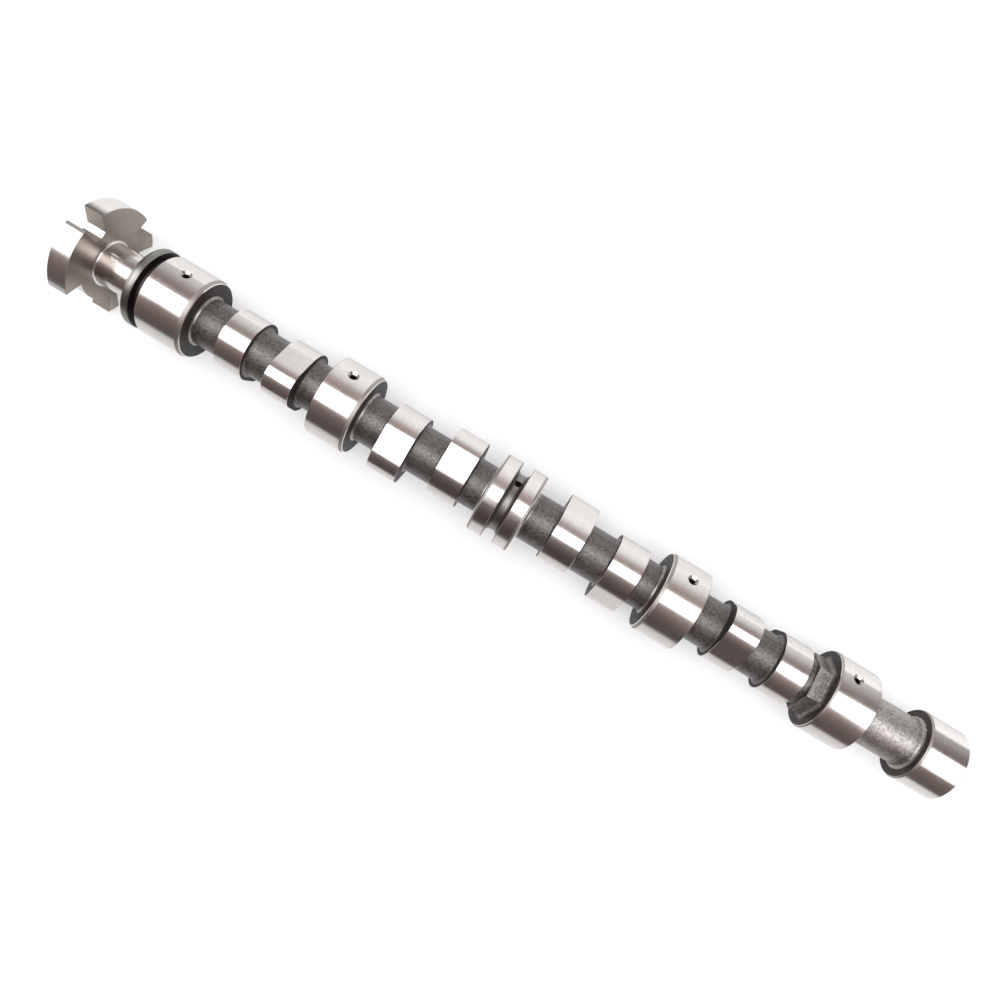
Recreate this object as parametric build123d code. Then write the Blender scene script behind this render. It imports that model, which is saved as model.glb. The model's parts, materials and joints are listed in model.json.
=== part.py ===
from build123d import *
import math
import os

# One-piece cast camshaft of a small four-cylinder engine, in millimetres.
# X runs along the shaft from the vane wheel to the nose, Z is up as the shaft lies, and the
# origin is the centre of journal 1. Angles turn about +X, from +Y towards +Z.

# Journals, which carry the shaft in plain tunnel bearings at the pitch of the cylinders
bore_pitch = 84.0
journal_diameter = 38.0
journal_reaches = ((11.0, 11.1), (8.8, 10.0), (10.2, 10.2), (9.5, 9.5), (9.3, 10.3))
journal_breaks = ((0.0, 1.9), (0.0, 1.7), (1.1, 1.3), (1.6, 0.0), (1.0, 0.0))
break_angle = 27.0

# Oil feed groove round the middle journal
feed_journal = len(journal_reaches) // 2
feed_groove_width = 5.6
feed_groove_depth = 5.1
feed_groove_break = 1.5

# Cast shaft between the ground surfaces, with a 45 degree blend up each face that it meets
shaft_diameter = 22.5
nose_shaft_diameter = 22.9
cast_blend = 1.2
blend_share = 0.8

# Lobes, two over each cylinder, with straight flanks for roller followers
lobe_widths = (13.3, 14.1, 14.2, 13.6)
lobe_base_diameter = 28.4
lobe_lift = 4.7
lobe_nose_radius = 9.8
lobe_pair_shifts = (3.2, 1.5, 2.3, 1.8)
lobe_half_gaps = (13.25, 13.8, 14.0, 13.5)
cylinder_phases = (180.0, 90.0, 270.0, 0.0)
lobe_half_spread = 66.0

# Thrust groove and collar beside journal 1, then the neck that carries the vane wheel
thrust_groove_width = 3.7
thrust_groove_depth = 4.3
collar_width = 3.45
collar_break = 0.6
neck_diameter = 20.6
neck_length = 20.75
neck_blend = 0.9

# Vane wheel of the position sensor: two wide and two narrow vanes, ending a quarter turn apart
wheel_diameter = 52.5
wheel_root_diameter = 35.4
wheel_thickness = 9.2
wide_vane_angle = 68.3
narrow_vane_angle = 14.7

# Cast hexagon for a wrench, against journal 5
hexagon_across_flats = 24.0
hexagon_length = 6.9
hexagon_angle = 77.5
hexagon_fillet = 1.5

# Nose, which carries the timing sprocket
nose_shaft_length = 27.2
nose_diameter = 33.2
nose_length = 18.5
nose_breaks = (1.0, 0.4)

# Drilled oil gallery along the axis, with a cross hole in each journal
gallery_diameter = 6.0
oil_hole_diameter = 2.9
oil_hole_mouth_diameter = 5.0
feed_hole_diameter = 3.4
oil_hole_angle = 46.0
oil_hole_shifts = (0.0, 0.0, 0.0, 1.0, -1.2)

# Sprocket bolt and dowel holes in the nose, and the centre hole in the wheel
bolt_hole_diameter = 10.7
bolt_hole_depth = 32.0
bolt_hole_mouth_diameter = 13.0
drill_point_angle = 118.0
dowel_hole_diameter = 6.0
dowel_hole_depth = 10.0
dowel_circle_diameter = 22.4
dowel_angle = 90.0
center_hole_diameter = 6.3
center_angle = 60.0

journal_radius = journal_diameter / 2
shaft_radius = shaft_diameter / 2
nose_shaft_radius = nose_shaft_diameter / 2
neck_radius = neck_diameter / 2
lobe_base_radius = lobe_base_diameter / 2

# Stations along the axis
journal_centers = [i * bore_pitch for i in range(len(journal_reaches))]
journal_spans = [(c - left, c + right) for c, (left, right) in zip(journal_centers, journal_reaches)]
first_face, last_face = journal_spans[0][0], journal_spans[-1][1]
collar_span = (first_face - thrust_groove_width - collar_width, first_face - thrust_groove_width)
wheel_span = (collar_span[0] - neck_length - wheel_thickness, collar_span[0] - neck_length)
hexagon_span = (journal_spans[-1][0] - hexagon_length, journal_spans[-1][0])
nose_span = (last_face + nose_shaft_length, last_face + nose_shaft_length + nose_length)


def lobe_span(bay, side):
    """Where a lobe starts and ends along the axis; side is -1 or 1 of its cylinder's pair."""
    center = (bay + 0.5) * bore_pitch + lobe_pair_shifts[bay] + side * lobe_half_gaps[bay]
    return center - lobe_widths[bay] / 2, center + lobe_widths[bay] / 2


def blend_up(foot_radius, wall_radius):
    """Size of the cast blend where a shaft meets a face, limited by the height of that wall."""
    return min(cast_blend, blend_share * (wall_radius - foot_radius))


def face_radius(radius, length):
    """Radius of an end face behind a broken edge of that length along the axis."""
    return radius - length * math.tan(math.radians(break_angle))


def turned_band(span, radius, breaks):
    """Half profile of a cylinder with its two edges broken at a shallow angle, or left sharp at 0."""
    left, right = span
    left_break, right_break = breaks
    return [
        (left, face_radius(radius, left_break)),
        (left + left_break, radius),
        (right - right_break, radius),
        (right, face_radius(radius, right_break)),
    ]


def blended_stretch(span, radius, blends):
    """Half profile of a cylinder that climbs the face at each of its ends at 45 degrees."""
    left, right = span
    left_blend, right_blend = blends
    return [
        (left, radius + left_blend),
        (left + left_blend, radius),
        (right - right_blend, radius),
        (right, radius + right_blend),
    ]


def bay_outline(bay):
    """Half profile of the cast shaft between two journals, running on through lobes and hexagon."""
    left, right = journal_spans[bay][1], journal_spans[bay + 1][0]
    first, second = lobe_span(bay, -1), lobe_span(bay, 1)
    at_lobe = blend_up(shaft_radius, lobe_base_radius)
    at_left = blend_up(shaft_radius, face_radius(journal_radius, journal_breaks[bay][1]))
    at_right = blend_up(shaft_radius, face_radius(journal_radius, journal_breaks[bay + 1][0]))
    end = right
    if right == hexagon_span[1]:
        end = hexagon_span[0]
        at_right = blend_up(shaft_radius, hexagon_across_flats / 2)
    outline = blended_stretch((left, first[0]), shaft_radius, (at_left, at_lobe))
    outline += blended_stretch((first[1], second[0]), shaft_radius, (at_lobe, at_lobe))
    outline += blended_stretch((second[1], end), shaft_radius, (at_lobe, at_right))
    if end != right:
        outline += [(right, shaft_radius + at_right)]
    return outline


def turned_body():
    """Neck, collar, journals, cast shaft and nose, turned about the axis."""
    floor_radius = journal_radius - thrust_groove_depth
    nose_radius = nose_diameter / 2
    outline = [(wheel_span[0], 0), (wheel_span[0], neck_radius + neck_blend)]
    outline += blended_stretch((wheel_span[1], collar_span[0]), neck_radius, (neck_blend, neck_blend))
    outline += turned_band(collar_span, journal_radius, (0, collar_break))
    outline += [(collar_span[1], floor_radius), (first_face, floor_radius)]
    for i, (span, breaks) in enumerate(zip(journal_spans, journal_breaks)):
        outline += turned_band(span, journal_radius, breaks)
        if span[1] != last_face:
            outline += bay_outline(i)
    at_journal = blend_up(nose_shaft_radius, face_radius(journal_radius, journal_breaks[-1][1]))
    at_nose = blend_up(nose_shaft_radius, face_radius(nose_radius, nose_breaks[0]))
    outline += blended_stretch((last_face, nose_span[0]), nose_shaft_radius, (at_journal, at_nose))
    outline += turned_band(nose_span, nose_radius, nose_breaks)
    outline += [(nose_span[1], 0)]
    outline = [p for p, after in zip(outline, outline[1:] + outline[:1]) if p != after]
    return revolve(make_face(Polyline(*outline, close=True)), Axis.X)


def feed_groove():
    """Groove with broken corners that carries oil round the middle journal."""
    floor_radius = journal_radius - feed_groove_depth
    section = Rectangle(feed_groove_width, 2 * feed_groove_depth, align=(Align.CENTER, Align.MIN))
    section = chamfer(section.vertices().sort_by(Axis.Y)[:2], feed_groove_break)
    return revolve(Pos(journal_centers[feed_journal], floor_radius) * section, Axis.X)


def lobe_profile():
    """Base circle and nose circle joined by the two straight lines that touch both."""
    nose_center = lobe_base_radius + lobe_lift - lobe_nose_radius
    flank = math.degrees(math.acos((lobe_base_radius - lobe_nose_radius) / nose_center))
    base_arc = CenterArc((0, 0), lobe_base_radius, flank, 360 - 2 * flank)
    nose_arc = CenterArc((nose_center, 0), lobe_nose_radius, -flank, 2 * flank)
    return make_face([base_arc, nose_arc, Line(nose_arc @ 1, base_arc @ 0), Line(base_arc @ 1, nose_arc @ 0)])


def lobes():
    """Two lobes over each cylinder, at equal angles either side of the cylinder's phase."""
    profile = lobe_profile()
    solids = []
    for bay, phase in enumerate(cylinder_phases):
        for side in (-1, 1):
            left, right = lobe_span(bay, side)
            turned = Plane.YZ * Rot(0, 0, phase - side * lobe_half_spread) * profile
            solids.append(Pos(left, 0, 0) * extrude(turned, right - left))
    return solids


def sector(start, sweep, radius):
    """Slice of a disc, from one angle through another."""
    rim = CenterArc((0, 0), radius, start, sweep)
    return make_face([Line((0, 0), rim @ 0), rim, Line(rim @ 1, (0, 0))])


def vane_wheel():
    """Disc with four vanes whose trailing sides stand a quarter turn apart."""
    vane_angles = (wide_vane_angle, wide_vane_angle, narrow_vane_angle, narrow_vane_angle)
    quarter = 360 / len(vane_angles)
    first_end = quarter / 2 + narrow_vane_angle / 2
    outline = Circle(wheel_root_diameter / 2)
    for i, angle in enumerate(vane_angles):
        outline += sector(first_end + i * quarter - angle, angle, wheel_diameter / 2)
    return Pos(wheel_span[0], 0, 0) * extrude(Plane.YZ * outline, wheel_thickness)


def hexagon():
    """Wrench hexagon standing against the last journal's inner face."""
    flats = RegularPolygon(hexagon_across_flats / 2, 6, major_radius=False)
    turned = Plane.YZ * Rot(0, 0, hexagon_angle + 30) * flats
    return Pos(hexagon_span[0], 0, 0) * extrude(turned, hexagon_length)


def radial_hole(center, angle, diameter, mouth_diameter=None):
    """Drilling from the gallery out through the journal, with or without a countersink."""
    out = (0, math.cos(math.radians(angle)), math.sin(math.radians(angle)))
    line = Plane((center, 0, 0), x_dir=(1, 0, 0), z_dir=out)
    from_axis = (Align.CENTER, Align.CENTER, Align.MIN)
    hole = Cylinder(diameter / 2, journal_diameter, align=from_axis)
    if mouth_diameter:
        flare = (mouth_diameter - diameter) / 2
        mouth = Cone(diameter / 2, mouth_diameter / 2 + flare, 2 * flare, align=from_axis)
        hole += Pos(0, 0, journal_radius - flare) * mouth
    return line * hole


def bolt_hole():
    """Hole on the axis of the nose, with a countersunk mouth and a drilled point."""
    face, radius, mouth_radius = nose_span[1], bolt_hole_diameter / 2, bolt_hole_mouth_diameter / 2
    mouth_depth = (mouth_radius - radius) / math.tan(math.radians(center_angle / 2))
    point_depth = radius / math.tan(math.radians(drill_point_angle / 2))
    outline = Polyline(
        (face, 0),
        (face, mouth_radius),
        (face - mouth_depth, radius),
        (face - bolt_hole_depth, radius),
        (face - bolt_hole_depth - point_depth, 0),
        close=True,
    )
    return revolve(make_face(outline), Axis.X)


def center_hole():
    """Countersink in the wheel's face, in which the shaft turned between centres."""
    radius = center_hole_diameter / 2
    depth = radius / math.tan(math.radians(center_angle / 2))
    face = wheel_span[0]
    return revolve(make_face(Polyline((face, 0), (face, radius), (face + depth, 0), close=True)), Axis.X)


def drillings():
    """Oil gallery, cross holes, and the holes in the two end faces."""
    along = Plane.YZ
    gallery_length = nose_span[1] - journal_centers[0]
    gallery = Cylinder(gallery_diameter / 2, gallery_length, align=(Align.CENTER, Align.CENTER, Align.MIN))
    holes = [Pos(journal_centers[0], 0, 0) * (along * gallery)]
    for i, (center, shift) in enumerate(zip(journal_centers, oil_hole_shifts)):
        if i == feed_journal:
            holes.append(radial_hole(center + shift, oil_hole_angle, feed_hole_diameter))
        else:
            holes.append(radial_hole(center + shift, oil_hole_angle, oil_hole_diameter, oil_hole_mouth_diameter))
    from_face = (Align.CENTER, Align.CENTER, Align.MAX)
    dowel = Cylinder(dowel_hole_diameter / 2, dowel_hole_depth, align=from_face)
    turn = Rot(dowel_angle, 0, 0)
    holes.append(turn * Pos(nose_span[1], dowel_circle_diameter / 2, 0) * (along * dowel))
    return holes + [bolt_hole(), center_hole()]


def lies_at(edge, station):
    """Whether an edge lies in the plane across the axis at a station."""
    box = edge.bounding_box()
    return math.isclose(box.min.X, station, abs_tol=1e-3) and math.isclose(box.max.X, station, abs_tol=1e-3)


def camshaft():
    """The whole casting, with its drillings."""
    body = turned_body() + lobes() + hexagon()
    corner_radius = hexagon_across_flats / math.sqrt(3)
    foot_wall = face_radius(journal_radius, journal_breaks[-1][0]) - corner_radius
    foot_edges = [e for e in body.edges().filter_by(GeomType.LINE) if lies_at(e, hexagon_span[1])]
    body = fillet(foot_edges, min(hexagon_fillet, blend_share * foot_wall))
    body += vane_wheel()
    body -= feed_groove()
    body -= drillings()
    return body


os.makedirs("parts", exist_ok=True)
part = camshaft()
part.label = "camshaft"
export_step(part, "parts/camshaft.step")
print("camshaft", len(part.solids()), "solid", round(part.volume / 1000, 1), "cm3")
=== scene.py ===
import json
import math
import bmesh
import bpy
import numpy as np
from mathutils import Matrix, Vector


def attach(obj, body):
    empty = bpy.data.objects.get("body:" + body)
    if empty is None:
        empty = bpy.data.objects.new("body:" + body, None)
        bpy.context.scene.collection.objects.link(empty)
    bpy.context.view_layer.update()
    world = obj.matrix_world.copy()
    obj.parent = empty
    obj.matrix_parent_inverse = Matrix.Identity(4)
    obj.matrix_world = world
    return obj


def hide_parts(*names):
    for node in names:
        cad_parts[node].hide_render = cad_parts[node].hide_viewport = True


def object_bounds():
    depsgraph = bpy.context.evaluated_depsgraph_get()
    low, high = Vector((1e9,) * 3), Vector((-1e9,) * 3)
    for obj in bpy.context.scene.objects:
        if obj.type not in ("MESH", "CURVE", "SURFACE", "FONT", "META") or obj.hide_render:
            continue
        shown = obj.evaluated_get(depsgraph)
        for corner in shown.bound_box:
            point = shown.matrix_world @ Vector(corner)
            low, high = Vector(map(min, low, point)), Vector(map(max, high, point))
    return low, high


# Cast camshaft: one skin worked out in millimetres on a grid of stations and angles.
# x runs along the shaft, angles turn about it from +y towards +z.
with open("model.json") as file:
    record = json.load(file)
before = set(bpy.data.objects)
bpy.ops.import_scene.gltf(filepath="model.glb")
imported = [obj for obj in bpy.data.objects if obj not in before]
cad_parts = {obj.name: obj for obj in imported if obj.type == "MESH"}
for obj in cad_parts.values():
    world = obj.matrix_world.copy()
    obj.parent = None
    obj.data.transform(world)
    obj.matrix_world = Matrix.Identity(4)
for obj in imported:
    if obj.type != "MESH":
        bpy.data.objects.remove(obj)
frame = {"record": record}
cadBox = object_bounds()
mm = 0.001
mounts = {m["name"]: m for m in frame["record"]["mounts"]}


def station(name):
    return mounts[name]["pos_m"][0] / mm


def mountRadius(name):
    return mounts[name]["dims"]["r_mm"]


wheelFace, noseFace = cadBox[0].x / mm, cadBox[1].x / mm
journalRadius = mountRadius("journal_1")
borePitch = station("journal_2") - station("journal_1")
noseRadius = mountRadius("nose_seat")
print("frame read: wheel face", round(wheelFace, 2), "nose face", round(noseFace, 2))

# The grid: every row is one section of the shaft, every column one angle round it.
# A face's rows lie at these shares of the way across it, closer to its edges on a journal's shoulder.
grid = {"columns": 160, "oilAngle": 46.0, "breakAngle": 27.0, "filletRows": 7,
        "faceRows": (0.12, 0.5, 0.88), "shoulderRows": (0.06, 0.5, 0.94)}
columns = grid["columns"]
turn = np.radians(grid["oilAngle"]) + np.arange(columns) * 2 * np.pi / columns
breakSlope = math.tan(math.radians(grid["breakAngle"]))
rows, rowFinish = [], []
finishNames = ["ground", "cast", "handled", "face", "relief", "blasted", "satin", "milled",
               "turned", "grooved", "recess", "chamfer", "drilled"]


def polar(radius, angle=turn):
    # y and z of a section given as radius against angle
    return np.stack([radius * np.cos(angle), radius * np.sin(angle)], axis=1)


def ring(radius):
    return polar(np.full(columns, radius))


def faceRing(radius, length):
    # rim of an end face behind a broken edge of that length
    return ring(radius - breakSlope * length)


def addRow(x, section, finish):
    # finish is that of the band between this row and the next
    rows.append(np.column_stack([np.full(columns, x), section]))
    rowFinish.append(finishNames.index(finish))


def finishLast(finish):
    rowFinish[-1] = finishNames.index(finish)


def addBand(stations, section, finish):
    # straight stretch: the same section at every station
    for x in stations:
        addRow(x, section, finish)


def addFace(x, start, stop, finish, shares=grid["faceRows"]):
    # flat face across the axis: straight lines from one section to the other
    for share in shares:
        addRow(x, start + (stop - start) * share, finish)


def addFillet(face, side, radius, size, finish, section=ring, steps=grid["filletRows"]):
    # quarter round from a face (side 1 leaves it, side -1 runs up to it) onto a cylinder
    for a in np.linspace(0, np.pi / 2, steps)[::side]:
        addRow(face + side * size * (1 - np.cos(a)), section(radius + size * (1 - np.sin(a))), finish)


# Vane wheel: two wide and two narrow vanes whose trailing sides stand a quarter turn apart.
# The dark angles are where the rim beside the narrow gap is painted darker as painted shade, in degrees from
# the gap.
wheel = {"rim": 26.25, "root": 17.7, "thickness": 9.2, "wide": 68.3, "narrow": 14.7, "edge": 0.2,
         "narrowMiddle": 45.0, "centerRadius": 3.15, "centerDepth": 5.46, "centerMouth": 0.05, "bands": 5,
         "flatHeight": 14.0, "wallAngle": 44.2, "wallReach": 15.35,
         "darkBefore": (5.0, 3.0), "darkAfter": 2.0}
wheel["ends"] = wheel["narrowMiddle"] + wheel["narrow"] / 2 + 90 * np.arange(4)
wheel["widths"] = np.array([wheel["wide"], wheel["wide"], wheel["narrow"], wheel["narrow"]])
vaneSides = {"grooved": [], "satin": [], "milled": []}  # columns of the wheel that aren't ground, by finish


def nearestColumn(angle):
    away = (turn - angle + np.pi) % (2 * np.pi) - np.pi
    return int(np.argmin(np.abs(away)))


def wheelOutline(inset):
    # rim radius inside a vane, root radius outside it; at a vane's side two columns share one radial line
    # the narrow gap between the wide vanes is milled to a level floor with a slanting wall behind it
    radius, angle = np.full(columns, wheel["root"] - inset), turn.copy()
    gapStart, gapEnd = wheel["ends"][0], wheel["ends"][1] - wheel["wide"]
    inGap = (np.degrees(turn) - gapStart) % 360 < gapEnd - gapStart
    flat = wheel["flatHeight"] / np.sin(turn)
    wall = wheel["wallReach"] / np.cos(turn - np.radians(wheel["wallAngle"]))
    radius = np.where(inGap, np.minimum(radius, np.maximum(flat, wall) - inset), radius)
    # the gap's slanting wall and the rim at the dark angles take the dark groove finish; at the dark angles
    # it is painted shade
    darkAngles = [gapStart - a for a in wheel["darkBefore"]] + [gapEnd + wheel["darkAfter"]]
    vaneSides["grooved"] += np.flatnonzero(inGap & (wall > flat)).tolist()
    vaneSides["grooved"] += [nearestColumn(np.radians(a)) for a in darkAngles]
    for end, width in zip(wheel["ends"], wheel["widths"]):
        start, stop = np.radians(end - width), np.radians(end)
        first, last = nearestColumn(start), nearestColumn(stop)
        inside = (first + 1 + np.arange((last - first - 1) % columns)) % columns
        radius[inside] = wheel["rim"] - inset
        for column, side, corner in ((first, 1, start), (last, -1, stop)):
            foot, tip = column, (column + side) % columns
            angle[foot] = corner + side * math.asin(inset / wheel["root"])
            angle[tip] = corner + side * math.asin(inset / wheel["rim"])
            # vane sides that face -y take a lighter colour, a painted reflection; the others take the satin
            # finish
            facesNear = math.cos(corner - side * math.pi / 2) < 0  # towards -y
            kind = "milled" if facesNear else "satin"
            vaneSides[kind].append(min(foot, tip) if abs(foot - tip) == 1 else columns - 1)
    return polar(radius, angle)


def addWheel():
    edge, right, hole = wheel["edge"], wheelFace + wheel["thickness"], wheel["centerRadius"]
    depth, mouth = wheel["centerDepth"], wheel["centerMouth"]
    addRow(wheelFace + depth, ring(0), "drilled")
    addRow(wheelFace + depth * mouth, ring(hole * (1 - mouth)), "drilled")
    addRow(wheelFace, ring(hole), "satin")
    addFace(wheelFace, ring(hole), wheelOutline(edge), "satin")
    addRow(wheelFace, wheelOutline(edge), "chamfer")
    wheel["firstBand"] = len(rows)
    addBand(np.linspace(wheelFace + edge, right - edge, wheel["bands"]), wheelOutline(0), "ground")
    finishLast("chamfer")
    addRow(right, wheelOutline(edge), "satin")
    return right


# Neck with a polished barrel, then the collar and the thrust groove.
neck = {"radius": 10.3, "length": 20.75, "fillet": 0.9, "rows": 5}
collar = {"width": 3.45, "leftEdge": 0.25, "rightEdge": 0.6, "rows": 4}
groove = {"width": 3.7, "depth": 4.3, "corner": 0.6, "cornerRows": 4}


def addNeck(left):
    right, size = left + neck["length"], neck["fillet"]
    addFace(left, wheelOutline(wheel["edge"]), ring(neck["radius"] + size), "satin")
    addFillet(left, 1, neck["radius"], size, "ground")
    addBand(np.linspace(left + size, right - size, neck["rows"])[1:-1], ring(neck["radius"]), "ground")
    addFillet(right, -1, neck["radius"], size, "ground")
    addFace(right, ring(neck["radius"] + size), faceRing(journalRadius, collar["leftEdge"]), "turned")
    return right


def addCollar(left):
    right, edge = left + collar["width"], collar["rightEdge"]
    addRow(left, faceRing(journalRadius, collar["leftEdge"]), "turned")
    stations = np.linspace(left + collar["leftEdge"], right - edge, collar["rows"])
    addBand(stations, ring(journalRadius), "turned")
    # the collar's right face and the thrust groove take the dark recess finish: partly the steel's own dark
    # surface, partly painted shade
    addRow(right, faceRing(journalRadius, edge), "recess")
    floor, corner = journalRadius - groove["depth"], groove["corner"]
    addFace(right, faceRing(journalRadius, edge), ring(floor + corner), "recess")
    for face, side in ((right, 1), (right + groove["width"], -1)):
        addFillet(face, side, floor, corner, "recess", steps=groove["cornerRows"])


# Journals: their reaches either side of the bore, the breaks of their edges and the cells round an oil hole.
journals = {
    "reaches": ((11.0, 11.1), (8.8, 10.0), (10.2, 10.2), (9.5, 9.5), (9.3, 10.3)),
    "breaks": ((0.25, 1.9), (0.25, 1.7), (1.1, 1.3), (1.6, 0.25), (1.0, 0.45)),
    "rimFacet": (0.18, 0.6),
    "oilShifts": (0.0, 0.0, 0.0, 1.0, -1.2), "holeReach": 3.2, "holeMargin": 2.4, "holeCells": 12,
}
feed = {"journal": 2, "width": 5.6, "depth": 5.1, "corner": 2.4, "reach": 2.3, "edge": 0.3,
        "wallRows": 4, "cornerRows": (0.9, 0.97)}
holeRows = {}


def boreCenter(number):
    return station("journal_1") + number * borePitch


def oilCenter(number):
    return boreCenter(number) + journals["oilShifts"][number]


def journalSpan(number):
    left, right = journals["reaches"][number]
    return boreCenter(number) - left, boreCenter(number) + right


def journalRim(number, side):
    # rim of a journal's left face (side 0) or right face (side 1)
    return faceRing(journalRadius, journals["breaks"][number][side])


def groovedRadius(off):
    # floor of the feed groove across its width, rising through its round corners
    floor = journalRadius - feed["depth"]
    past = np.clip(np.abs(off) - (feed["width"] / 2 - feed["corner"]), 0, feed["corner"])
    return floor + feed["corner"] - np.sqrt(feed["corner"] ** 2 - past ** 2)


def addJournal(number):
    # a broken edge is two facets, steep beside the face and shallow beside the ground band
    left, right = journalSpan(number)
    leftBreak, rightBreak = journals["breaks"][number]
    wide, low = journals["rimFacet"]
    addRow(left, journalRim(number, 0), "ground")
    addRow(left + wide * leftBreak, faceRing(journalRadius, low * leftBreak), "chamfer")
    addRow(left + leftBreak, ring(journalRadius), "ground")
    if number == feed["journal"]:
        addFeedGroove(boreCenter(number))
    else:
        center, reach, margin = oilCenter(number), journals["holeReach"], journals["holeMargin"]
        addRow(center - reach - margin, ring(journalRadius), "ground")
        holeRows[number] = len(rows)
        stations = np.linspace(center - reach, center + reach, journals["holeCells"] + 1)
        addBand(stations, ring(journalRadius), "ground")
        addRow(center + reach + margin, ring(journalRadius), "ground")
    addRow(right - rightBreak, ring(journalRadius), "chamfer")
    addRow(right - wide * rightBreak, faceRing(journalRadius, low * rightBreak), "ground")
    addRow(right, journalRim(number, 1), "face")


def addFeedGroove(center):
    wide, edge = feed["width"] / 2, feed["edge"]
    wall = np.linspace(journalRadius - edge, groovedRadius(wide), feed["wallRows"])
    corner = wide * np.array(feed["cornerRows"])
    floor = np.linspace(-feed["reach"], feed["reach"], journals["holeCells"] + 1)
    # walls and floor take the dark groove finish: partly the groove's own rougher surface, partly painted
    # shade
    addRow(center - wide - edge, ring(journalRadius), "chamfer")
    for r in wall:
        addRow(center - wide, ring(r), "grooved")
    holeRows[feed["journal"]] = len(rows) + len(corner)
    for off in np.concatenate([-corner[::-1], floor, corner]):
        addRow(center + off, ring(groovedRadius(off)), "grooved")
    for r in wall[::-1]:
        addRow(center + wide, ring(r), "grooved")
    finishLast("chamfer")
    addRow(center + wide + edge, ring(journalRadius), "ground")


# Cast shaft: bare iron with a mould seam down each side and a round into every face.
shaft = {"radius": 11.25, "fillet": 1.3, "relief": 1.1, "rows": 5,
         "seamAngle": 41.5, "seamHeight": 0.12, "seamWidth": 0.4}
noseShaft = {"radius": 11.45, "fillet": 1.4, "seamHeight": 0.42}


def seamed(height):
    # circle with a low rounded ridge at the seam angle and opposite it
    def section(radius):
        away = (turn - np.radians(shaft["seamAngle"]) + np.pi / 2) % np.pi - np.pi / 2
        return polar(radius + height * np.exp(-(away * radius / shaft["seamWidth"]) ** 2))
    return section


castRing = seamed(shaft["seamHeight"])
noseRing = seamed(noseShaft["seamHeight"])


def addStretch(left, right, radius, fillets, section, finish, ends):
    # fillets and ends are the sizes and finishes of the rounds at the left and right faces
    addFillet(left, 1, radius, fillets[0], ends[0], section)
    finishLast(finish)
    stations = np.linspace(left + fillets[0], right - fillets[1], shaft["rows"])[1:-1]
    addBand(stations, section(radius), finish)
    addFillet(right, -1, radius, fillets[1], ends[1], section)
    finishLast("face")


# Lobes: base circle and nose circle joined by the straight lines that touch both.
lobe = {
    "base": 14.2, "lift": 4.7, "nose": 9.8, "edge": 0.12, "halfSpread": 66.0, "rows": 3,
    "widths": (13.3, 14.1, 14.2, 13.6),
    "shifts": (3.2, 1.5, 2.3, 1.8),
    "halfGaps": (13.25, 13.8, 14.0, 13.5),
    "phases": (180.0, 90.0, 270.0, 0.0),
}
bays = len(lobe["phases"])  # each bay is a pair of lobes between two journals


def lobeOutline(noseAngle, inset):
    # polar radius: nose circle near the nose, then the flank line, then the base circle
    reach = lobe["base"] + lobe["lift"] - lobe["nose"]
    flank = math.acos((lobe["base"] - lobe["nose"]) / reach)
    meet = math.atan2(lobe["nose"] * math.sin(flank), reach + lobe["nose"] * math.cos(flank))
    away = np.abs((turn - np.radians(noseAngle) + np.pi) % (2 * np.pi) - np.pi)
    onNose = reach * np.cos(away) + np.sqrt(np.maximum(lobe["nose"] ** 2 - (reach * np.sin(away)) ** 2, 0))
    onFlank = lobe["base"] / np.cos(np.minimum(away, flank) - flank)
    radius = np.where(away < meet, onNose, np.where(away < flank, onFlank, lobe["base"]))
    return polar(radius - inset)


def lobeSpan(bay, side):
    center = (bay + 0.5) * borePitch + lobe["shifts"][bay] + side * lobe["halfGaps"][bay]
    return center - lobe["widths"][bay] / 2, center + lobe["widths"][bay] / 2


def addLobe(bay, side):
    left, right = lobeSpan(bay, side)
    noseAngle, edge = lobe["phases"][bay] - side * lobe["halfSpread"], lobe["edge"]
    foot, rim = castRing(shaft["radius"] + shaft["fillet"]), lobeOutline(noseAngle, edge)
    # the lobe's side faces take the darker face finish, which is painted shade
    addFace(left, foot, rim, "face")
    addRow(left, rim, "ground")
    addBand(np.linspace(left + edge, right - edge, lobe["rows"]), lobeOutline(noseAngle, 0), "ground")
    addRow(right, rim, "face")
    addFace(right, rim, foot, "face")


# Hexagon for a wrench, cast against the last journal. Its edge round, flats and round into the journal take
# a lighter copy of the cast finish, a painted highlight.
hexagon = {"apothem": 12.0, "length": 6.9, "flatAngle": 77.5, "fillet": 1.5, "edge": 0.4, "root": 0.6,
           "faceRows": (0.3, 0.9), "edgeRows": 4, "flatRows": 4, "filletRows": 6}


def hexOutline(apothem):
    # distance to the nearest flat over the cosine of the angle from its middle; corners sit on columns
    angle = turn.copy()
    for corner in np.radians(hexagon["flatAngle"] + 30 + 60 * np.arange(6)):
        angle[nearestColumn(corner)] = corner
    off = (angle - np.radians(hexagon["flatAngle"]) + np.pi / 6) % (np.pi / 3) - np.pi / 6
    return polar(apothem / np.cos(off), angle)


def addHexagon(left, right):
    apothem, edge, size = hexagon["apothem"], hexagon["edge"], hexagon["fillet"]
    root = castRing(shaft["radius"] + hexagon["root"])
    addFace(left, root, hexOutline(apothem - edge), "cast", hexagon["faceRows"])
    for a in np.linspace(0, np.pi / 2, hexagon["edgeRows"]):
        addRow(left + edge * (1 - np.cos(a)), hexOutline(apothem - edge * (1 - np.sin(a))), "handled")
    stations = np.linspace(left + edge, right - size, hexagon["flatRows"])[1:-1]
    addBand(stations, hexOutline(apothem), "handled")
    for a in np.linspace(0, np.pi / 2, hexagon["filletRows"]):
        addRow(right - size + size * np.sin(a), hexOutline(apothem + size * (1 - np.cos(a))), "handled")
    addFace(right, hexOutline(apothem + size), journalRim(bays, 0), "face")


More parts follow.
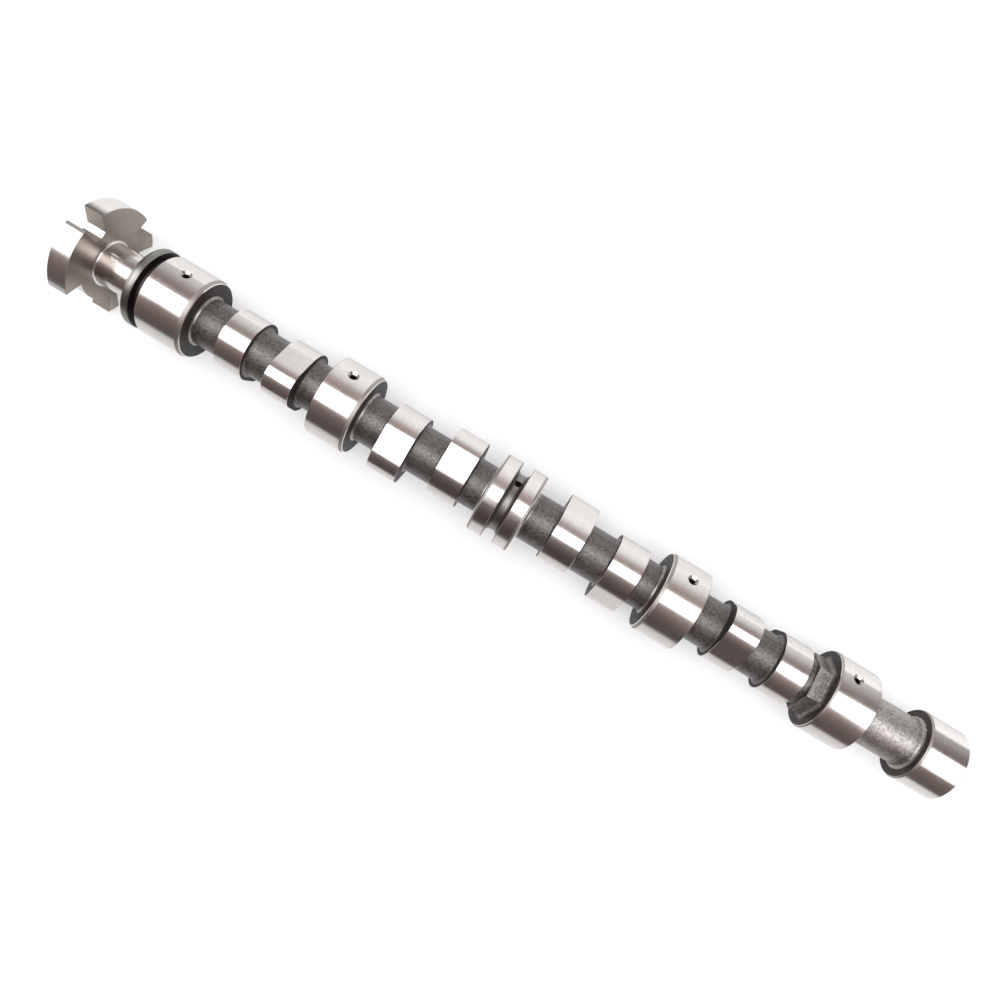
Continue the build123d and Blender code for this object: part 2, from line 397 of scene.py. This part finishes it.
# Nose with the sprocket bolt's threaded hole and a dowel hole. The thread's depth is a share of its pitch.
nose = {"length": 18.5, "edges": (1.0, 0.4), "rows": 6}
bolt = {"radius": mountRadius("sprocket_bolt_hole"), "mouth": 6.5, "sinkAngle": 30.0, "depth": 32.0,
        "pointAngle": 59.0, "gallery": 3.0, "galleryDepth": 60.0,
        "pitch": 1.25, "threadDepth": 0.6, "turns": 9, "rowsPerTurn": 5}
dowel = {
    "radius": mountRadius("dowel_hole"), "sink": 0.3, "depth": 10.0, "angle": 90.0,
    "circle": mounts["dowel_hole"]["pos_m"][2] / mm,
    "cells": 12, "columns": 26, "inner": 7.2, "outer": 15.2,
}


def addNose():
    left = noseFace - nose["length"]
    leftEdge, rightEdge = nose["edges"]
    addRow(left, faceRing(noseRadius, leftEdge), "chamfer")
    addBand(np.linspace(left + leftEdge, noseFace - rightEdge, nose["rows"]), ring(noseRadius), "ground")
    addRow(noseFace, faceRing(noseRadius, rightEdge), "satin")
    holeRows["dowel"] = len(rows)
    for r in np.linspace(dowel["outer"], dowel["inner"], dowel["cells"] + 1):
        addRow(noseFace, ring(r), "satin")
    addBoltHole()


def addBoltHole():
    # countersink, then a thread whose radius follows a triangle wave along the helix, then a plain bore
    sink = bolt["mouth"] - bolt["radius"]
    sinkDepth = sink / math.tan(math.radians(bolt["sinkAngle"]))
    threadDepth = bolt["threadDepth"] * bolt["pitch"]
    addRow(noseFace, ring(bolt["mouth"]), "chamfer")
    for turns in np.arange(1, bolt["turns"] * bolt["rowsPerTurn"]) / bolt["rowsPerTurn"]:
        wave = np.abs((turns + turn / (2 * np.pi)) % 1 - 0.5) * 2
        thread = bolt["radius"] + threadDepth * wave * min(1.0, bolt["turns"] - turns)
        mouth = bolt["mouth"] - sink * min(1.0, turns * bolt["pitch"] / sinkDepth)
        addRow(noseFace - turns * bolt["pitch"], polar(np.maximum(thread, mouth)), "drilled")
    addRow(noseFace - bolt["turns"] * bolt["pitch"], ring(bolt["radius"]), "drilled")
    end = noseFace - bolt["depth"]
    point = (bolt["radius"] - bolt["gallery"]) / math.tan(math.radians(bolt["pointAngle"]))
    addRow(end, ring(bolt["radius"]), "drilled")
    addRow(end - point, ring(bolt["gallery"]), "drilled")
    addRow(end - bolt["galleryDepth"], ring(bolt["gallery"]), "drilled")
    addRow(end - bolt["galleryDepth"], ring(0), "drilled")


def addBay(bay):
    # cast shaft with its two lobes, from one journal's face to the next
    left, right = journalSpan(bay)[1], journalSpan(bay + 1)[0]
    first, second = lobeSpan(bay, -1), lobeSpan(bay, 1)
    size, relief, radius = shaft["fillet"], shaft["relief"], shaft["radius"]
    # the rounds beside the journals take the relief finish, lighter as a painted highlight
    addFace(left, journalRim(bay, 1), castRing(radius + relief), "face", grid["shoulderRows"])
    addStretch(left, first[0], radius, (relief, size), castRing, "cast", ("relief", "cast"))
    addLobe(bay, -1)
    addStretch(first[1], second[0], radius, (size, size), castRing, "cast", ("cast", "cast"))
    addLobe(bay, 1)
    if bay < bays - 1:
        addStretch(second[1], right, radius, (size, relief), castRing, "cast", ("cast", "relief"))
        addFace(right, castRing(radius + relief), journalRim(bay + 1, 0), "face", grid["shoulderRows"])
    else:
        head = right - hexagon["length"]
        addStretch(second[1], head, radius, (size, hexagon["root"]), castRing, "cast", ("cast", "cast"))
        addHexagon(head, right)


def addNoseShaft():
    left, right = journalSpan(bays)[1], noseFace - nose["length"]
    radius, size, shares = noseShaft["radius"], noseShaft["fillet"], grid["shoulderRows"]
    addFace(left, journalRim(bays, 1), noseRing(radius + size), "face", shares)
    addStretch(left, right, radius, (size, size), noseRing, "blasted", ("blasted", "blasted"))
    addFace(right, noseRing(radius + size), faceRing(noseRadius, nose["edges"][0]), "face", shares)


addCollar(addNeck(addWheel()))
for bay in range(bays):
    addJournal(bay)
    addBay(bay)
addJournal(bays)
addNoseShaft()
addNose()
points = np.array(rows)
rowCount = len(points)
print("grid of", rowCount, "rows and", columns, "columns")

# Faces of the grid as quads, with the cells of each drilled hole left out.
index = np.arange(rowCount * columns).reshape(rowCount, columns)
after = np.roll(index, -1, axis=1)
quads = np.stack([index[:-1], after[:-1], after[1:], index[1:]], axis=2)
keep = np.ones((rowCount - 1, columns), bool)
cellFinish = np.repeat(np.array(rowFinish[:-1])[:, None], columns, axis=1)
vaneRows = np.arange(wheel["firstBand"], wheel["firstBand"] + wheel["bands"] - 1)
for kind, sideColumns in vaneSides.items():
    cellFinish[np.ix_(vaneRows, np.unique(sideColumns))] = finishNames.index(kind)
extraPoints, extraQuads, extraFinish, caps = [], [], [], []
borderShares = (0.35, 0.7, 1.0)  # where the rings lie between the cut-out's border and a hole's mouth


def drillHole(firstRow, cells, firstColumn, width, place, mouth, steps, lift, finish):
    # rings shrink from the border of the cut-out cells to the mouth, then go down the steps, each with
    # its radius, depth and finish; lift gives the height of the surface beside the mouth
    center, across, along, out = (np.array(v, float) for v in place)
    at = (firstColumn + np.arange(width + 1)) % columns
    keep[firstRow:firstRow + cells, at[:-1]] = False
    lastRow = firstRow + cells
    loop = np.concatenate([
        index[firstRow, at[:-1]],
        index[firstRow:lastRow, at[-1]],
        index[lastRow, at[:0:-1]],
        index[lastRow:firstRow:-1, at[0]],
    ])
    border = points.reshape(-1, 3)[loop] - center
    u, v = border @ across, border @ along
    angle = np.arctan2(v, u)
    cu, cv = np.cos(angle), np.sin(angle)
    made = []
    for share in borderShares:
        ru, rv = u + (mouth * cu - u) * share, v + (mouth * cv - v) * share
        made.append((ru, rv, lift(ru, rv), finish))
    for radius, depth, name in steps:
        made.append((radius * cu, radius * cv, np.full(len(loop), -depth), name))
    previous = loop
    for ru, rv, height, name in made:
        base = rowCount * columns + sum(len(p) for p in extraPoints)
        extraPoints.append(center + np.outer(ru, across) + np.outer(rv, along) + np.outer(height, out))
        now = base + np.arange(len(loop))
        extraQuads.append(np.stack([previous, np.roll(previous, -1), np.roll(now, -1), now], axis=1))
        extraFinish.append(np.full(len(loop), finishNames.index(name)))
        previous = now
    caps.append(previous.tolist())


def onJournal(u, v):
    return np.sqrt(journalRadius ** 2 - u ** 2) - journalRadius


def inFeedGroove(u, v):
    return np.sqrt(groovedRadius(v) ** 2 - u ** 2) - (journalRadius - feed["depth"])


def onNoseFace(u, v):
    return np.zeros_like(u)


oil = {"mouth": 2.5, "bore": 1.45, "feedBore": 1.7, "feedRim": 1.2, "bottom": 3.0, "halfColumns": 5}
oilOut = (0.0, math.cos(turn[0]), math.sin(turn[0]))
oilAcross = (0.0, -math.sin(turn[0]), math.cos(turn[0]))
for number in range(bays + 1):
    if number == feed["journal"]:
        surface, lift, finish = journalRadius - feed["depth"], inFeedGroove, "grooved"
        mouth, bore, rim = oil["feedBore"], oil["feedBore"], oil["feedRim"]
    else:
        surface, lift, finish = journalRadius, onJournal, "ground"
        mouth, bore, rim = oil["mouth"], oil["bore"], oil["mouth"] - oil["bore"]
    place = ((oilCenter(number), surface * oilOut[1], surface * oilOut[2]), oilAcross, (1, 0, 0), oilOut)
    steps = [(bore, depth, "drilled") for depth in (rim, surface - oil["bottom"])]
    drillHole(holeRows[number], journals["holeCells"], -oil["halfColumns"], 2 * oil["halfColumns"],
              place, mouth, steps, lift, finish)

dowelTurn = math.radians(dowel["angle"])
dowelOut = np.array([0.0, math.cos(dowelTurn), math.sin(dowelTurn)])
dowelAcross = (0.0, -math.sin(dowelTurn), math.cos(dowelTurn))
dowelPlace = (np.array([noseFace, 0, 0]) + dowel["circle"] * dowelOut, dowelAcross, -dowelOut, (1, 0, 0))
dowelSteps = [(dowel["radius"], dowel["sink"], "chamfer"), (dowel["radius"], dowel["depth"], "drilled")]
drillHole(holeRows["dowel"], dowel["cells"], nearestColumn(dowelTurn) - dowel["columns"] // 2,
          dowel["columns"], dowelPlace, dowel["radius"] + dowel["sink"], dowelSteps, onNoseFace, "satin")

# The skin: points closer than the weld become one, and edges sharper than the angle stay sharp.
smoothing = {"weld": 1e-7, "sharpAngle": 17.0}
vertices = np.concatenate([points.reshape(-1, 3)] + extraPoints) * mm
faces = np.concatenate([quads[keep]] + extraQuads)
capFinish = np.full(len(caps), finishNames.index("drilled"))
faceFinish = np.concatenate([cellFinish[keep]] + extraFinish + [capFinish])
mesh = bpy.data.meshes.new("camshaftSkin")
mesh.from_pydata(vertices.tolist(), [], faces.tolist() + caps)
mesh.polygons.foreach_set("material_index", faceFinish.astype(np.int32))
skin = bpy.data.objects.new("camshaftSkin", mesh)
bpy.context.scene.collection.objects.link(skin)
work = bmesh.new()  # rows of radius zero become single points
work.from_mesh(mesh)
bmesh.ops.remove_doubles(work, verts=work.verts, dist=smoothing["weld"])
work.to_mesh(mesh)
work.free()
mesh.shade_smooth()
mesh.set_sharp_from_angle(angle=math.radians(smoothing["sharpAngle"]))
print("skin of", len(mesh.vertices), "points and", len(mesh.polygons), "faces")


# Shared surface effects: node groups that take a vector and the named numbers.
def newGroup(name, numbers, outputs):
    group = bpy.data.node_groups.new(name, "ShaderNodeTree")
    group.interface.new_socket("Vector", in_out="INPUT", socket_type="NodeSocketVector")
    for title in numbers:
        group.interface.new_socket(title, in_out="INPUT", socket_type="NodeSocketFloat")
    for title in outputs:
        group.interface.new_socket(title, in_out="OUTPUT", socket_type="NodeSocketFloat")
    return group, group.nodes.new("NodeGroupInput"), group.nodes.new("NodeGroupOutput")


def calculate(tree, operation, a, b=0.0):
    node = tree.nodes.new("ShaderNodeMath")
    node.operation = operation
    for socket, value in zip(node.inputs, (a, b)):
        if isinstance(value, (int, float)):
            socket.default_value = value
        else:
            tree.links.new(value, socket)
    return node.outputs[0]


def noise(tree, vector, scale, detail, rough):
    node = tree.nodes.new("ShaderNodeTexNoise")
    node.inputs["Scale"].default_value = scale
    node.inputs["Detail"].default_value = detail
    node.inputs["Roughness"].default_value = rough
    tree.links.new(vector, node.inputs["Vector"])
    return node.outputs["Fac"]


def remap(tree, value, low, high, toLow=0.0, toHigh=1.0):
    node = tree.nodes.new("ShaderNodeMapRange")
    for title, number in (("From Min", low), ("From Max", high), ("To Min", toLow), ("To Max", toHigh)):
        node.inputs[title].default_value = number
    tree.links.new(value, node.inputs["Value"])
    return node.outputs["Result"]


def offAxis(tree, vector):
    # distance from the shaft's axis, with the three coordinates
    split = tree.nodes.new("ShaderNodeSeparateXYZ")
    tree.links.new(vector, split.inputs[0])
    x, y, z = split.outputs
    square = calculate(tree, "ADD", calculate(tree, "MULTIPLY", y, y), calculate(tree, "MULTIPLY", z, z))
    return calculate(tree, "SQRT", square), x, y, z


# For each noise, detail is its detail and roughness, and tone, gloss or haze the range of it that is used.
toolLines = {"around": 35.0, "detail": (4.0, 0.65), "tone": (0.3, 0.7)}


def makeToolMarks():
    # fine lines round the axis: noise squeezed along x and along the radius, stretched round the shaft
    group, start, stop = newGroup("toolMarks", ["Lines"], ["Height", "Tone"])
    radius, x, y, z = offAxis(group, start.outputs["Vector"])
    join = group.nodes.new("ShaderNodeCombineXYZ")
    along = calculate(group, "MULTIPLY", calculate(group, "ADD", x, radius), start.outputs["Lines"])
    group.links.new(along, join.inputs[0])
    group.links.new(calculate(group, "MULTIPLY", y, toolLines["around"]), join.inputs[1])
    group.links.new(calculate(group, "MULTIPLY", z, toolLines["around"]), join.inputs[2])
    field = noise(group, join.outputs[0], 1.0, *toolLines["detail"])
    group.links.new(field, stop.inputs["Height"])
    group.links.new(remap(group, field, *toolLines["tone"]), stop.inputs["Tone"])
    return group


sand = {"detail": (3.0, 0.65), "height": 0.8, "tone": (0.32, 0.68)}
lumps = {"scale": 0.3, "detail": (2.0, 0.5), "height": 0.7, "gloss": (0.35, 0.65)}


def makeCastGrain():
    # sand-mould skin: small grains over broader lumps
    group, start, stop = newGroup("castGrain", ["Scale"], ["Height", "Tone", "Gloss"])
    scaled = group.nodes.new("ShaderNodeVectorMath")
    scaled.operation = "SCALE"
    group.links.new(start.outputs["Vector"], scaled.inputs[0])
    group.links.new(start.outputs["Scale"], scaled.inputs["Scale"])
    fine = noise(group, scaled.outputs[0], 1.0, *sand["detail"])
    broad = noise(group, scaled.outputs[0], lumps["scale"], *lumps["detail"])
    height = calculate(group, "ADD", calculate(group, "MULTIPLY", fine, sand["height"]),
                       calculate(group, "MULTIPLY", broad, lumps["height"]))
    group.links.new(height, stop.inputs["Height"])
    group.links.new(remap(group, fine, *sand["tone"]), stop.inputs["Tone"])
    group.links.new(remap(group, broad, *lumps["gloss"]), stop.inputs["Gloss"])
    return group


# The dark line lies a little beside the seam, fades over these distances and ends between these radii.
mould = {"turn": -1.2, "fade": (0.2, 0.42), "dark": 0.6, "bare": (11.9, 12.3)}


def makeMouldLine():
    # dark line where the mould halves met: close to the plane through the axis, and only on the bare shaft
    group, start, stop = newGroup("mouldLine", [], ["Tone"])
    radius, _, y, z = offAxis(group, start.outputs["Vector"])
    angle = math.radians(shaft["seamAngle"] + mould["turn"])
    off = calculate(group, "SUBTRACT", calculate(group, "MULTIPLY", z, math.cos(angle)),
                    calculate(group, "MULTIPLY", y, math.sin(angle)))
    away = calculate(group, "ABSOLUTE", off)
    line = remap(group, away, *(d * mm for d in mould["fade"]), mould["dark"], 0.0)
    bare = remap(group, radius, *(r * mm for r in mould["bare"]), 1.0, 0.0)
    shade = calculate(group, "MULTIPLY", line, bare)
    group.links.new(calculate(group, "SUBTRACT", 1.0, shade), stop.inputs["Tone"])
    return group


smears = {"scale": 70.0, "detail": (3.0, 0.55), "haze": (0.3, 0.7)}
specks = {"scale": 700.0, "detail": (2.0, 0.6), "tone": (0.25, 0.75), "shade": (0.96, 1.04)}


def makeHandling():
    # faint smears and specks left by oil and handling
    group, start, stop = newGroup("handling", [], ["Haze", "Tone"])
    broad = noise(group, start.outputs["Vector"], smears["scale"], *smears["detail"])
    fine = noise(group, start.outputs["Vector"], specks["scale"], *specks["detail"])
    group.links.new(remap(group, broad, *smears["haze"]), stop.inputs["Haze"])
    group.links.new(remap(group, fine, *specks["tone"], *specks["shade"]), stop.inputs["Tone"])
    return group


toolMarks, castGrain = makeToolMarks(), makeCastGrain()
mouldLine, handling = makeMouldLine(), makeHandling()

# One entry for each finish: colour, metal, roughness range, tool lines or grain per metre, bump depth in mm
# and contrast. The bare casting also has an oil film, with its weight and roughness.
finishes = {
    "ground": {"color": (0.745, 0.716, 0.702), "metal": 1.0, "rough": (0.15, 0.2), "lines": 1400.0,
               "depth": 0.002, "contrast": 0.04},
    "cast": {"color": (0.139, 0.127, 0.121), "metal": 0.85, "rough": (0.48, 0.58), "grain": 900.0,
             "depth": 0.18, "contrast": 0.5, "oil": (0.7, 0.35)},
    # the cast finish made lighter on the hexagon: painted highlight
    "handled": {"color": (0.24, 0.222, 0.212), "metal": 0.85, "rough": (0.44, 0.54), "grain": 900.0,
                "depth": 0.18, "contrast": 0.5},
    # the cast finish made darker on the side faces of lobes, journals, hexagon and nose shaft: painted shade
    "face": {"color": (0.085, 0.078, 0.074), "metal": 0.85, "rough": (0.45, 0.55), "grain": 1100.0,
             "depth": 0.1, "contrast": 0.45},
    # the rounds from the journals into the cast shaft: cast iron given a much lighter colour, a painted
    # highlight
    "relief": {"color": (0.36, 0.34, 0.325), "metal": 1.0, "rough": (0.34, 0.46), "grain": 1200.0,
               "depth": 0.06, "contrast": 0.35},
    "blasted": {"color": (0.42, 0.4, 0.388), "metal": 1.0, "rough": (0.44, 0.54), "grain": 1000.0,
                "depth": 0.12, "contrast": 0.4},
    "satin": {"color": (0.38, 0.334, 0.298), "metal": 1.0, "rough": (0.3, 0.38), "lines": 1500.0,
              "depth": 0.003, "contrast": 0.06},
    # vane sides facing -y: a lighter colour as a painted reflection
    "milled": {"color": (0.72, 0.665, 0.61), "metal": 1.0, "rough": (0.45, 0.55), "lines": 1500.0,
               "depth": 0.003, "contrast": 0.06},
    "turned": {"color": (0.25, 0.248, 0.23), "metal": 1.0, "rough": (0.3, 0.36), "lines": 700.0,
               "depth": 0.006, "contrast": 0.55},
    # dark steel in the feed groove and on the wheel's gap wall, rougher than the ground bands and darkened
    # as painted shade; on the rim at the dark angles only painted shade
    "grooved": {"color": (0.25, 0.24, 0.23), "metal": 1.0, "rough": (0.34, 0.42), "lines": 1500.0,
                "depth": 0.004, "contrast": 0.08},
    # thrust groove: partly the steel's own dark surface, partly painted shade
    "recess": {"color": (0.1, 0.094, 0.09), "metal": 1.0, "rough": (0.42, 0.5), "lines": 1500.0,
               "depth": 0.004, "contrast": 0.1},
    "chamfer": {"color": (0.4, 0.37, 0.345), "metal": 1.0, "rough": (0.42, 0.5), "lines": 1800.0,
                "depth": 0.002, "contrast": 0.05},
    "drilled": {"color": (0.5, 0.48, 0.46), "metal": 1.0, "rough": (0.24, 0.32), "lines": 1500.0,
                "depth": 0.003, "contrast": 0.06},
}


def placeGroup(tree, group, vector):
    node = tree.nodes.new("ShaderNodeGroup")
    node.node_tree = group
    tree.links.new(vector, node.inputs["Vector"])
    return node


def makeFinish(name, look):
    material = bpy.data.materials.new(name + "Iron")
    material.use_nodes = True
    tree = material.node_tree
    shader = tree.nodes["Principled BSDF"]
    shader.inputs["Metallic"].default_value = look["metal"]
    oilWeight, oilRough = look.get("oil", (0.0, 0.0))
    shader.inputs["Coat Weight"].default_value = oilWeight
    shader.inputs["Coat Roughness"].default_value = oilRough
    vector = tree.nodes.new("ShaderNodeTexCoord").outputs["Object"]
    worn = placeGroup(tree, handling, vector)
    if "grain" in look:
        marks = placeGroup(tree, castGrain, vector)
        marks.inputs["Scale"].default_value = look["grain"]
        gloss, shade = marks.outputs["Gloss"], placeGroup(tree, mouldLine, vector).outputs["Tone"]
    else:
        marks = placeGroup(tree, toolMarks, vector)
        marks.inputs["Lines"].default_value = look["lines"]
        gloss, shade = worn.outputs["Haze"], worn.outputs["Tone"]
    tint = tree.nodes.new("ShaderNodeVectorMath")
    tint.operation = "SCALE"
    tint.inputs[0].default_value = look["color"]
    tone = remap(tree, marks.outputs["Tone"], 0.0, 1.0, 1 - look["contrast"], 1 + look["contrast"])
    tree.links.new(calculate(tree, "MULTIPLY", tone, shade), tint.inputs["Scale"])
    tree.links.new(tint.outputs[0], shader.inputs["Base Color"])
    tree.links.new(remap(tree, gloss, 0.0, 1.0, *look["rough"]), shader.inputs["Roughness"])
    bump = tree.nodes.new("ShaderNodeBump")
    bump.inputs["Distance"].default_value = look["depth"] * mm
    tree.links.new(marks.outputs["Height"], bump.inputs["Height"])
    tree.links.new(bump.outputs["Normal"], shader.inputs["Normal"])
    return material


for name in finishNames:
    mesh.materials.append(makeFinish(name, finishes[name]))
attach(skin, "root")
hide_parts("camshaft")
print("finishes:", ", ".join(finishNames))


def addRamp(tree, value, reach, stops):
    # colour ramp from -reach to reach, whose stops are (place, red, green, blue)
    node = tree.nodes.new("ShaderNodeValToRGB")
    tree.links.new(remap(tree, value, -reach, reach), node.inputs[0])
    marks = node.color_ramp.elements
    while len(marks) < len(stops):
        marks.new(0.5)
    for mark, (place, *color) in zip(marks, stops):
        mark.position = (place / reach + 1) / 2
        mark.color = color + [1]
    return node.outputs[0]


# Lit white table under the lowest vanes and the last journal, so it leans a little along the shaft.
# Its paper glows, painted light that lightens the shadows on it, more so towards both ends.
# Glossy rays see a painted reflection instead: dark under the shaft as a painted shadow, bright on the far
# side, fading away on the near side and brighter towards the nose.
table = {
    "size": 6.0, "tone": 0.55, "rough": 0.9, "shine": 0.1,
    "glow": (0.42, 0.56), "middle": 0.16, "even": (0.1, 0.26), "reach": 0.4,
    "mirrored": ((-0.4, 0.14), (-0.33, 0.2), (-0.24, 0.5), (-0.14, 0.72), (-0.065, 0.83),
                 (-0.035, 0.92), (-0.021, 0.98), (-0.012, 0.36), (0.009, 0.38), (0.016, 0.73),
                 (0.024, 0.78), (0.045, 1.04), (0.12, 1.13), (0.4, 1.18)),
    "noseLift": (0.33, 0.45, 1.0, 1.15),
}
wheelLow = wheelOutline(0)[:, 1].min()
wheelRight = wheelFace + wheel["thickness"] - wheel["edge"]
journalRight = journalSpan(bays)[1] - journals["breaks"][bays][1]
slope = (-journalRadius - wheelLow) / (journalRight - wheelRight)
corner = table["size"] / 2
tableXy = np.array([(-corner, -corner), (corner, -corner), (corner, corner), (-corner, corner)])
tableXyz = np.column_stack([tableXy, (wheelLow - slope * wheelRight) * mm + slope * tableXy[:, 0]])
tableMesh = bpy.data.meshes.new("whiteTable")
tableMesh.from_pydata(tableXyz.tolist(), [], [(0, 1, 2, 3)])
whiteTable = bpy.data.objects.new("whiteTable", tableMesh)
bpy.context.scene.collection.objects.link(whiteTable)
paper = bpy.data.materials.new("litPaper")
paper.use_nodes = True
sheet = paper.node_tree
paperShader = sheet.nodes["Principled BSDF"]
paperShader.inputs["Base Color"].default_value = (table["tone"],) * 3 + (1,)
paperShader.inputs["Roughness"].default_value = table["rough"]
paperShader.inputs["Specular IOR Level"].default_value = table["shine"]
paperShader.inputs["Emission Color"].default_value = (1, 1, 1, 1)
spot = sheet.nodes.new("ShaderNodeSeparateXYZ")
sheet.links.new(sheet.nodes.new("ShaderNodeTexCoord").outputs["Object"], spot.inputs[0])
offMiddle = calculate(sheet, "ABSOLUTE", calculate(sheet, "SUBTRACT", spot.outputs[0], table["middle"]))
# emission that lightens the paper's shadows: painted light, stronger towards the ends
glow = remap(sheet, offMiddle, *table["even"], *table["glow"])
sheet.links.new(glow, paperShader.inputs["Emission Strength"])
tableStops = [(y, v, v, v) for y, v in table["mirrored"]]
# painted reflection seen only by glossy rays, with a painted shadow under the shaft
mirrored = sheet.nodes.new("ShaderNodeEmission")
sheet.links.new(addRamp(sheet, spot.outputs[1], table["reach"], tableStops), mirrored.inputs["Color"])
sheet.links.new(remap(sheet, spot.outputs[0], *table["noseLift"]), mirrored.inputs["Strength"])
seen = sheet.nodes.new("ShaderNodeMixShader")
sheet.links.new(sheet.nodes.new("ShaderNodeLightPath").outputs["Is Glossy Ray"], seen.inputs[0])
sheet.links.new(paperShader.outputs[0], seen.inputs[1])
sheet.links.new(mirrored.outputs[0], seen.inputs[2])
sheet.links.new(seen.outputs[0], sheet.nodes["Material Output"].inputs["Surface"])
tableMesh.materials.append(paper)
print("table leans", round(math.degrees(slope), 2), "degrees")

# Softbox over the shaft, wider at both ends and cut back on the near side over the middle.
# Each panel: its start and end along x in metres, then its near and far edges in degrees off the vertical.
softbox = {
    "height": 1.2, "radiance": 2.8,
    "panels": ((-1.08, -0.93, 29.0, 33.0), (-0.93, -0.72, 22.2, 21.6), (-0.72, 0.05, 23.8, 21.6),
               (0.05, 0.23, 8.0, 21.2), (0.23, 0.86, 13.4, 21.6), (0.86, 1.0, 18.0, 24.0),
               (1.0, 1.16, 21.6, 27.0), (1.16, 1.42, 31.0, 29.0)),
}
for left, right, near, far in softbox["panels"]:
    nearEdge, farEdge = (softbox["height"] * math.tan(math.radians(a)) for a in (near, far))
    lamp = bpy.data.lights.new("softbox", "AREA")
    lamp.shape = "RECTANGLE"
    lamp.size, lamp.size_y = right - left, nearEdge + farEdge
    lamp.energy = softbox["radiance"] * math.pi * lamp.size * lamp.size_y
    panel = bpy.data.objects.new("softbox", lamp)
    panel.location = ((left + right) / 2, (farEdge - nearEdge) / 2, softbox["height"])
    panel.visible_camera = False
    bpy.context.scene.collection.objects.link(panel)
print("softbox of", len(softbox["panels"]), "panels")

# Room: brightness by angle off the vertical across the shaft, dim on the near side and warm where it is dim.
# Along the shaft, the far side is brightest in the middle and the near side darkest there.
room = {
    "across": ((-90, 0.15), (-75, 0.11), (-60, 0.13), (-45, 0.18), (-33, 0.25), (-24, 0.34),
               (-12, 0.42), (10, 0.8), (22, 0.46), (30, 0.36), (37, 0.41), (45, 0.54),
               (54, 0.75), (63, 0.95), (72, 1.06), (90, 1.1)),
    "along": ((-0.6, 0.6), (-0.46, 0.77), (-0.36, 0.97), (-0.27, 1.0), (-0.1, 1.06),
              (0.15, 1.05), (0.23, 1.02), (0.34, 0.85), (0.45, 0.67), (0.6, 0.5)),
    "alongTop": 2.0, "nearSide": (0.12, 0.24, 0.65, 1.0), "sides": (-0.1, 0.3),
    "warm": (1.0, 0.79, 0.74), "warmBelow": 0.8, "warmSpan": 0.45,
    "background": (1.0, 1.0, 1.0, 1.0),
}
world = bpy.data.worlds.new("studio")
bpy.context.scene.world = world
world.use_nodes = True
sky = world.node_tree
sky.nodes.clear()
towards = sky.nodes.new("ShaderNodeSeparateXYZ")
sky.links.new(sky.nodes.new("ShaderNodeTexCoord").outputs["Generated"], towards.inputs[0])
acrossStops = []
for angle, value in room["across"]:
    share = max(0.0, min(1.0, (room["warmBelow"] - value) / room["warmSpan"]))
    color = [value * (1 - share * (1 - w)) for w in room["warm"]]
    acrossStops.append((math.sin(math.radians(angle)), *color))
dim = sky.nodes.new("ShaderNodeBackground")
sky.links.new(addRamp(sky, towards.outputs[1], 1.0, acrossStops), dim.inputs["Color"])
nearSide = remap(sky, calculate(sky, "ABSOLUTE", towards.outputs[0]), *room["nearSide"])
alongStops = [(x, *[v / room["alongTop"]] * 3) for x, v in room["along"]]
farSide = calculate(sky, "MULTIPLY", addRamp(sky, towards.outputs[0], 1.0, alongStops), room["alongTop"])
sides = sky.nodes.new("ShaderNodeMix")
sky.links.new(remap(sky, towards.outputs[1], *room["sides"]), sides.inputs["Factor"])
sky.links.new(nearSide, sides.inputs["A"])
sky.links.new(farSide, sides.inputs["B"])
sky.links.new(sides.outputs["Result"], dim.inputs["Strength"])
pale = sky.nodes.new("ShaderNodeBackground")
pale.inputs["Color"].default_value = room["background"]
choose = sky.nodes.new("ShaderNodeMixShader")
sky.links.new(sky.nodes.new("ShaderNodeLightPath").outputs["Is Camera Ray"], choose.inputs[0])
sky.links.new(dim.outputs[0], choose.inputs[1])
sky.links.new(pale.outputs[0], choose.inputs[2])
sky.links.new(choose.outputs[0], sky.nodes.new("ShaderNodeOutputWorld").inputs[0])
bpy.context.scene.view_settings.view_transform = "Standard"
print("room of", len(acrossStops), "tones across and", len(alongStops), "along")

# Camera almost straight above, leaning a little towards +y, with the shaft turned across the frame.
view = {"height": 337.3, "along": 173.73, "lean": 2.55, "pan": -0.488, "roll": 31.09, "clip": 0.01,
        "focal": 758.2, "center": (14.23, -1.7), "pixels": 1000, "sensor": 36.0}
lean, pan, roll = (math.radians(view[k]) for k in ("lean", "pan", "roll"))
upward = Vector((0, math.cos(lean), -math.sin(lean)))
out = Vector((0, math.sin(lean), math.cos(lean)))
level = math.cos(pan) * Vector((1, 0, 0)) + math.sin(pan) * out
back = -math.sin(pan) * Vector((1, 0, 0)) + math.cos(pan) * out
right = math.cos(roll) * level + math.sin(roll) * upward
top = -math.sin(roll) * level + math.cos(roll) * upward
camera = bpy.data.cameras.new("photoCamera")
camera.sensor_width = view["sensor"]
camera.lens = view["focal"] / view["pixels"] * view["sensor"]
acrossShift, downShift = view["center"]
camera.shift_x = -(math.cos(roll) * acrossShift - math.sin(roll) * downShift) / view["pixels"]
camera.shift_y = (math.sin(roll) * acrossShift + math.cos(roll) * downShift) / view["pixels"]
camera.clip_start = view["clip"]
viewer = bpy.data.objects.new("photoCamera", camera)
viewer.matrix_world = Matrix((right, top, back)).transposed().to_4x4()
viewer.location = (Vector((view["along"], 0, 0)) + view["height"] * out) * mm
bpy.context.scene.collection.objects.link(viewer)
bpy.context.scene.camera = viewer
print("camera at", [round(v, 3) for v in viewer.location])
